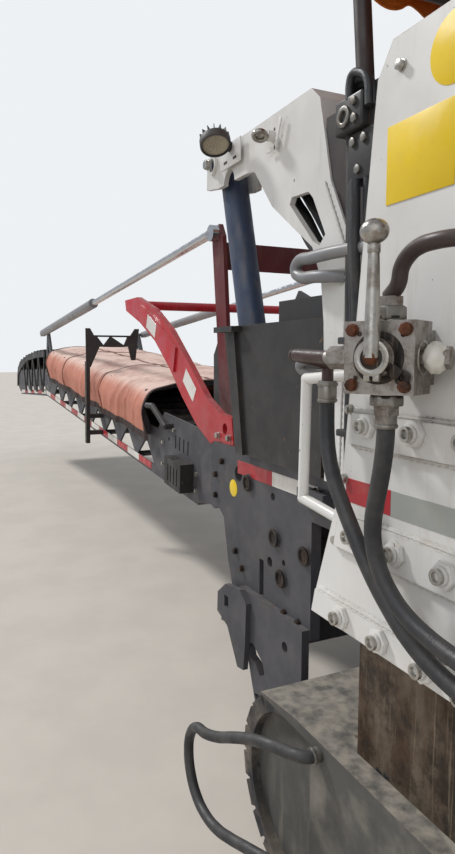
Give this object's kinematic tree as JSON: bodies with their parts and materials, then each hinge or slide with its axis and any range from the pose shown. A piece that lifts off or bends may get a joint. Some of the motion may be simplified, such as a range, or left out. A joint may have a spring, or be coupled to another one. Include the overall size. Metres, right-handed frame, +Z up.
{
  "type": "cold planer milling machine",
  "caption": "Tracked cold planer with a milling drum between height-adjustable legs, a canopy, and a slewing front-loading conveyor under a canvas cover.",
  "frame": {"origin": "bottom centre of the whole machine's outline, on the ground", "axes": "+X forward towards the discharge conveyor's head, +Y to the machine's left, +Z up"},
  "size_m": [15.6051, 2.6927, 3.14],
  "materials": {
    "white_paint": "worn semi-gloss",
    "frame_grey": "dusty satin",
    "box_black": "scuffed satin",
    "signal_red": "worn gloss",
    "mast_red": "worn satin",
    "cylinder_blue": "satin",
    "barrel_grey": "satin",
    "rod_chrome": "polished",
    "greased_steel": "rusty and greased",
    "drum_steel": "worn",
    "track_rubber": "dusty",
    "belt_rubber": "dusty",
    "hose_rubber": "matte",
    "canvas": "coated canvas",
    "roof_fabric": "coated fabric",
    "nickel": "tarnished",
    "post_brown": "satin",
    "engine_iron": "cast",
    "exhaust_steel": "heat tinted",
    "deck_grip": "grip plate",
    "rail_paint": "gloss",
    "black_plastic": "moulded",
    "seat_vinyl": "vinyl"
  },
  "bodies": {
    "chassis": {"main_frame": "frame_grey", "leg_housings": "white_paint", "front_plates": "frame_grey", "slew_nose": "frame_grey", "skid_plates": "frame_grey", "gallows": "white_paint", "cylinder_boxes": "box_black", "guard_frame": "signal_red", "drum_housing": "white_paint", "side_plates": "frame_grey", "side_tanks": "white_paint", "engine_block": "engine_iron", "exhaust": "exhaust_steel", "deck": "deck_grip", "ladders": "frame_grey", "handrails": "rail_paint", "control_desk": "black_plastic", "seats": "seat_vinyl", "canopy_posts": "post_brown", "canopy_roof": "roof_fabric", "valve": "nickel", "valve_lever": "nickel", "grab_handles": "white_paint", "work_lamps": "black_plastic", "valve_hose": "hose_rubber", "elbow_hose": "hose_rubber"},
    "hood": {"engine_hood": "white_paint", "radiator_grille": "black_plastic"},
    "drum": {"milling_drum": "drum_steel"},
    "column_fl": {"column_fl": "greased_steel"},
    "crawler_fl": {"crawler_fl": "frame_grey", "track_fl": "track_rubber", "crawler_hose": "hose_rubber"},
    "column_fr": {"column_fr": "greased_steel"},
    "crawler_fr": {"crawler_fr": "frame_grey", "track_fr": "track_rubber"},
    "column_rl": {"column_rl": "greased_steel"},
    "crawler_rl": {"crawler_rl": "frame_grey", "track_rl": "track_rubber"},
    "column_rr": {"column_rr": "greased_steel"},
    "crawler_rr": {"crawler_rr": "frame_grey", "track_rr": "track_rubber"},
    "primary": {"primary_frame": "frame_grey", "lift_lugs": "frame_grey", "primary_belt": "belt_rubber"},
    "lift_barrels": {"lift_barrels": "cylinder_blue"},
    "lift_rods": {"lift_rods": "rod_chrome"},
    "console": {"console": "frame_grey", "hopper": "box_black", "mast": "mast_red"},
    "discharge": {"discharge_frame": "frame_grey", "head_hood": "box_black", "conveyor_fittings": "box_black", "cover_hoops": "frame_grey", "discharge_belt": "belt_rubber", "discharge_cover": "canvas", "luff_barrels": "barrel_grey"},
    "luff_rods": {"luff_rods": "rod_chrome"}
  },
  "joints": [
    {"name": "leg_fl", "type": "slide", "parent": "chassis", "child": "column_fl", "axis": [0, 0, 1], "range_m": [-0.35, 0.3]},
    {"name": "steer_fl", "type": "hinge", "parent": "column_fl", "child": "crawler_fl", "pos_m": [-2.13494, 0.97, 0.5], "axis": [0, 0, 1], "range_deg": [-20, 20]},
    {"name": "leg_fr", "type": "slide", "parent": "chassis", "child": "column_fr", "axis": [0, 0, 1], "range_m": [-0.35, 0.3]},
    {"name": "steer_fr", "type": "hinge", "parent": "column_fr", "child": "crawler_fr", "pos_m": [-2.13494, -0.97, 0.5], "axis": [0, 0, 1], "range_deg": [-20, 20]},
    {"name": "leg_rl", "type": "slide", "parent": "chassis", "child": "column_rl", "axis": [0, 0, 1], "range_m": [-0.35, 0.3]},
    {"name": "steer_rl", "type": "hinge", "parent": "column_rl", "child": "crawler_rl", "pos_m": [-6.30494, 0.97, 0.5], "axis": [0, 0, 1], "range_deg": [-20, 20]},
    {"name": "leg_rr", "type": "slide", "parent": "chassis", "child": "column_rr", "axis": [0, 0, 1], "range_m": [-0.35, 0.3]},
    {"name": "steer_rr", "type": "hinge", "parent": "column_rr", "child": "crawler_rr", "pos_m": [-6.30494, -0.97, 0.5], "axis": [0, 0, 1], "range_deg": [-20, 20]},
    {"name": "drum_spin", "type": "hinge", "parent": "chassis", "child": "drum", "pos_m": [-4.40494, 0, 0.62], "axis": [0, 1, 0], "continuous": true},
    {"name": "hood_tilt", "type": "hinge", "parent": "chassis", "child": "hood", "pos_m": [-7.74494, 0, 1.54], "axis": [0, -1, 0], "range_deg": [0, 40]},
    {"name": "primary_lift", "type": "hinge", "parent": "chassis", "child": "primary", "pos_m": [-3.32494, 0, 0.56], "axis": [0, -1, 0], "range_deg": [0, 3]},
    {"name": "lift_barrel_tilt", "type": "hinge", "parent": "chassis", "child": "lift_barrels", "pos_m": [-0.60494, 0, 2.372], "axis": [0, 1, 0], "range_deg": [0, 4.26]},
    {"name": "lift_rod_slide", "type": "slide", "parent": "lift_barrels", "child": "lift_rods", "axis": [0.2704, 0, 0.9627], "range_m": [0, 0.1078]},
    {"name": "slew", "type": "hinge", "parent": "chassis", "child": "console", "pos_m": [-0.25494, 0, 0.95], "axis": [0, 0, 1], "range_deg": [-41, 39]},
    {"name": "luff", "type": "hinge", "parent": "console", "child": "discharge", "pos_m": [0.16499, 0.00733, 0.92], "axis": [0.0175, -0.9998, 0], "range_deg": [0, 20]},
    {"name": "luff_rod_slide", "type": "slide", "parent": "discharge", "child": "luff_rods", "axis": [0.9971, 0.0174, -0.0741], "range_m": [0, 0.4578]}
  ],
  "couplings": [
    {"joint": "steer_fr", "follows": "steer_fl", "ratio": 1},
    {"joint": "steer_rr", "follows": "steer_rl", "ratio": 1},
    {"joint": "lift_barrel_tilt", "follows": "primary_lift", "ratio": 1.4135},
    {"joint": "lift_rod_slide", "follows": "primary_lift", "m_per_rad": 2.0393},
    {"joint": "luff_rod_slide", "follows": "luff", "m_per_rad": 1.3088}
  ]
}
